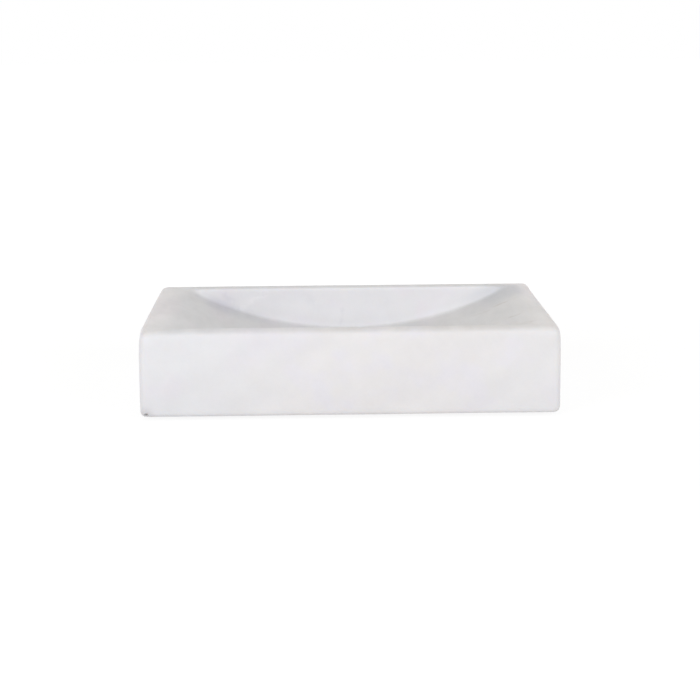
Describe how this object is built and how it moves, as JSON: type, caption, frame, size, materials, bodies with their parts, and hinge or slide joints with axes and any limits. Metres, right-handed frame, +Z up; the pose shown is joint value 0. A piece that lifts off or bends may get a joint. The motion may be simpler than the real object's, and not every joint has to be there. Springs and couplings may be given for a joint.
{
  "type": "soap dish",
  "caption": "Free-standing rectangular soap dish of white marble, with a shallow trough ground into its top to hold a bar of soap, on stick-on anti-slip feet.",
  "frame": {"origin": "on the surface that the dish stands on, under the middle of the block", "axes": "+X along the dish's length, to the right seen from the front; +Y from front to back; +Z up"},
  "size_m": [0.12, 0.085, 0.026],
  "materials": {
    "marble": "honed white marble with faint soft grey clouds",
    "silicone": "satin translucent silicone",
    "adhesive": "glossy clear pressure-sensitive adhesive"
  },
  "bodies": {
    "root": {"marble_dish": "marble", "front_left_foot": "silicone", "front_left_adhesive": "adhesive", "front_right_foot": "silicone", "front_right_adhesive": "adhesive", "rear_left_foot": "silicone", "rear_left_adhesive": "adhesive", "rear_right_foot": "silicone", "rear_right_adhesive": "adhesive"}
  },
  "joints": []
}
